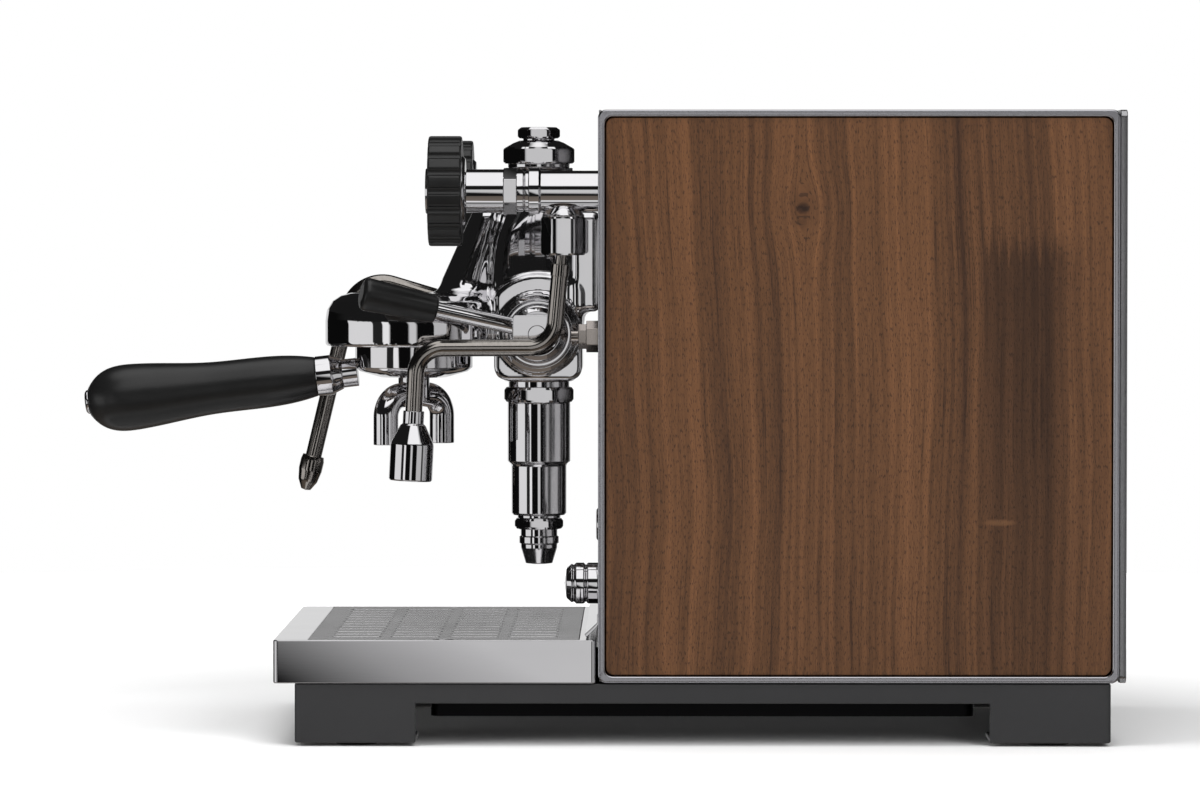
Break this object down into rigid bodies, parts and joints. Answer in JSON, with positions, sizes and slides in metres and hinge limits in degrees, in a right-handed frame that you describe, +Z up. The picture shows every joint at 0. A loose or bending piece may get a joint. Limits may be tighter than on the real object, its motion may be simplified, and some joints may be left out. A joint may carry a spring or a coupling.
{
  "type": "espresso machine",
  "caption": "Home espresso machine with a lever group, locking portafilter, steam and hot-water taps, lift-out water tank, slide-out drip tray and wooden side panels.",
  "frame": {"origin": "middle of the footprint of the whole machine, portafilter included, on the surface it stands on", "axes": "+Z up, the front with the group and tray faces -Y, the user's right is +X"},
  "size_m": [0.28, 0.6192, 0.3715],
  "materials": {
    "chrome": "polished",
    "steel": "brushed",
    "plinth_paint": "matt",
    "walnut": "oiled",
    "black_plastic": "fine texture",
    "gloss_black": "gloss",
    "rubber": "matt",
    "clear_plastic": "translucent",
    "brass": "turned",
    "seat_plastic": "plain"
  },
  "bodies": {
    "chassis": {"base_frame": "plinth_paint", "boiler": "steel", "button_bezel": "chrome", "cam_gland": "chrome", "cap_plug": "chrome", "control_box": "black_plastic", "drain_nozzle": "chrome", "feed_fitting": "chrome", "floor_pan": "steel", "foot_pads": "rubber", "front_panel": "steel", "group_body": "chrome", "group_cap": "chrome", "group_gasket": "rubber", "infusion_chamber": "chrome", "outlet_nut_left": "chrome", "outlet_nut_right": "chrome", "panel_screws": "steel", "pipes": "brass", "power_inlet": "gloss_black", "pump": "black_plastic", "rear_panel": "steel", "sensor_plug": "chrome", "shower_screen": "steel", "side_frame_left": "steel", "side_frame_right": "steel", "splash_guard": "steel", "tank_base": "black_plastic", "top_cover": "steel", "valve_body_left": "chrome", "valve_body_right": "chrome", "valve_bonnet_left": "chrome", "valve_bonnet_right": "chrome", "wood_panel_left": "walnut", "wood_panel_right": "walnut"},
    "lever": {"lever_shaft": "chrome", "lever_arm": "chrome", "lever_grip": "black_plastic"},
    "portafilter": {"portafilter_body": "chrome", "portafilter_grip": "black_plastic", "grip_cap": "chrome", "filter_basket": "steel", "spout": "chrome"},
    "steam_knob": {"knob_left": "black_plastic", "knob_stem_left": "chrome"},
    "water_knob": {"knob_right": "black_plastic", "knob_stem_right": "chrome"},
    "steam_swivel_seat": {"wand_seat_left": "seat_plastic"},
    "steam_wand_body": {"steam_wand": "steel", "steam_tip": "steel"},
    "water_swivel_seat": {"wand_seat_right": "seat_plastic"},
    "water_wand_body": {"water_wand": "steel", "water_diffuser": "chrome"},
    "tray": {"drip_tray": "steel"},
    "grate": {"tray_grate": "steel"},
    "tank": {"water_tank": "clear_plastic"},
    "lid": {"tank_lid": "steel"},
    "button": {"power_button": "gloss_black"},
    "selector": {"selector_knob": "chrome"}
  },
  "joints": [
    {"name": "lever_swing", "type": "hinge", "parent": "chassis", "child": "lever", "pos_m": [0, -0.0343, 0.238], "axis": [1, 0, 0], "range_deg": [-24, 57]},
    {"name": "portafilter_turn", "type": "hinge", "parent": "chassis", "child": "portafilter", "pos_m": [0, -0.11, 0.238], "axis": [0, 0, 1], "range_deg": [-40, 0]},
    {"name": "steam_knob_turn", "type": "hinge", "parent": "chassis", "child": "steam_knob", "pos_m": [-0.103, 0.0032, 0.323], "axis": [0, -1, 0], "range_deg": [0, 540]},
    {"name": "water_knob_turn", "type": "hinge", "parent": "chassis", "child": "water_knob", "pos_m": [0.103, 0.0032, 0.323], "axis": [0, -1, 0], "range_deg": [0, 540]},
    {"name": "steam_swivel", "type": "hinge", "parent": "chassis", "child": "steam_swivel_seat", "pos_m": [-0.103, -0.018, 0.297], "axis": [0, 0, 1], "range_deg": [-60, 0]},
    {"name": "steam_tilt", "type": "hinge", "parent": "steam_swivel_seat", "child": "steam_wand_body", "pos_m": [-0.103, -0.018, 0.297], "axis": [0, 1, 0], "range_deg": [0, 15]},
    {"name": "water_swivel", "type": "hinge", "parent": "chassis", "child": "water_swivel_seat", "pos_m": [0.103, -0.018, 0.297], "axis": [0, 0, 1], "range_deg": [0, 60]},
    {"name": "water_tilt", "type": "hinge", "parent": "water_swivel_seat", "child": "water_wand_body", "pos_m": [0.103, -0.018, 0.297], "axis": [0, 1, 0], "range_deg": [-15, 0]},
    {"name": "tray_slide", "type": "slide", "parent": "chassis", "child": "tray", "axis": [0, -1, 0], "range_m": [0, 0.19]},
    {"name": "grate_lift", "type": "slide", "parent": "tray", "child": "grate", "axis": [0, 0, 1], "range_m": [0, 0.015]},
    {"name": "tank_lift", "type": "slide", "parent": "chassis", "child": "tank", "axis": [0, 0, 1], "range_m": [0, 0.32]},
    {"name": "lid_lift", "type": "slide", "parent": "tank", "child": "lid", "axis": [0, 0, 1], "range_m": [0, 0.06]},
    {"name": "power_press", "type": "slide", "parent": "chassis", "child": "button", "axis": [0, 1, 0], "range_m": [0, 0.002], "stiffness_N_per_m": 400, "springref_m": -0.002},
    {"name": "selector_turn", "type": "hinge", "parent": "chassis", "child": "selector", "pos_m": [0.075, 0.0032, 0.091], "axis": [0, -1, 0], "range_deg": [0, 90]}
  ]
}
